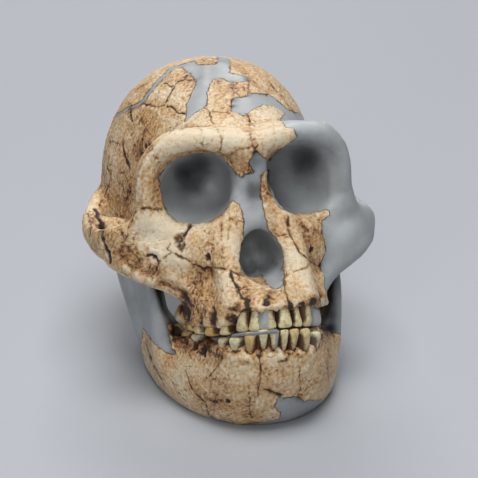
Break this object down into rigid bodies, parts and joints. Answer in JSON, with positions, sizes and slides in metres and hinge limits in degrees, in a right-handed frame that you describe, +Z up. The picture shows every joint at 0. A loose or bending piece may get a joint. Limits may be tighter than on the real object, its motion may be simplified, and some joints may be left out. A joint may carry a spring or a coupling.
{
  "type": "museum cast of an australopith skull with lower jaw",
  "caption": "Life-size painted cast of a fossil hominin skull with its lower jaw, standing on the jaw, with brown bone pieces set in smooth grey filler.",
  "frame": {"origin": "on the floor, on the skull's midline, under the middle of its length", "axes": "+Z up; the face looks to -Y with its ear-to-eye line tipped up 15 degrees; +X is the skull's own left"},
  "size_m": [0.1648, 0.2117, 0.1653],
  "materials": {
    "bone": "resin cast painted as tan and brown fossil bone, with dark cracks and a low sheen",
    "filler": "smooth grey painted resin that stands for restored bone"
  },
  "bodies": {
    "root": {"braincase": "bone", "brow_and_eye_rims": "bone", "upper_jaw": "bone", "cheek_right": "bone", "cheek_arch_right": "bone", "lower_jaw_body": "bone", "cheek_left": "filler", "cheek_arch_left": "filler", "lower_jaw_branch_left": "filler", "lower_jaw_branch_right": "filler"}
  },
  "joints": []
}
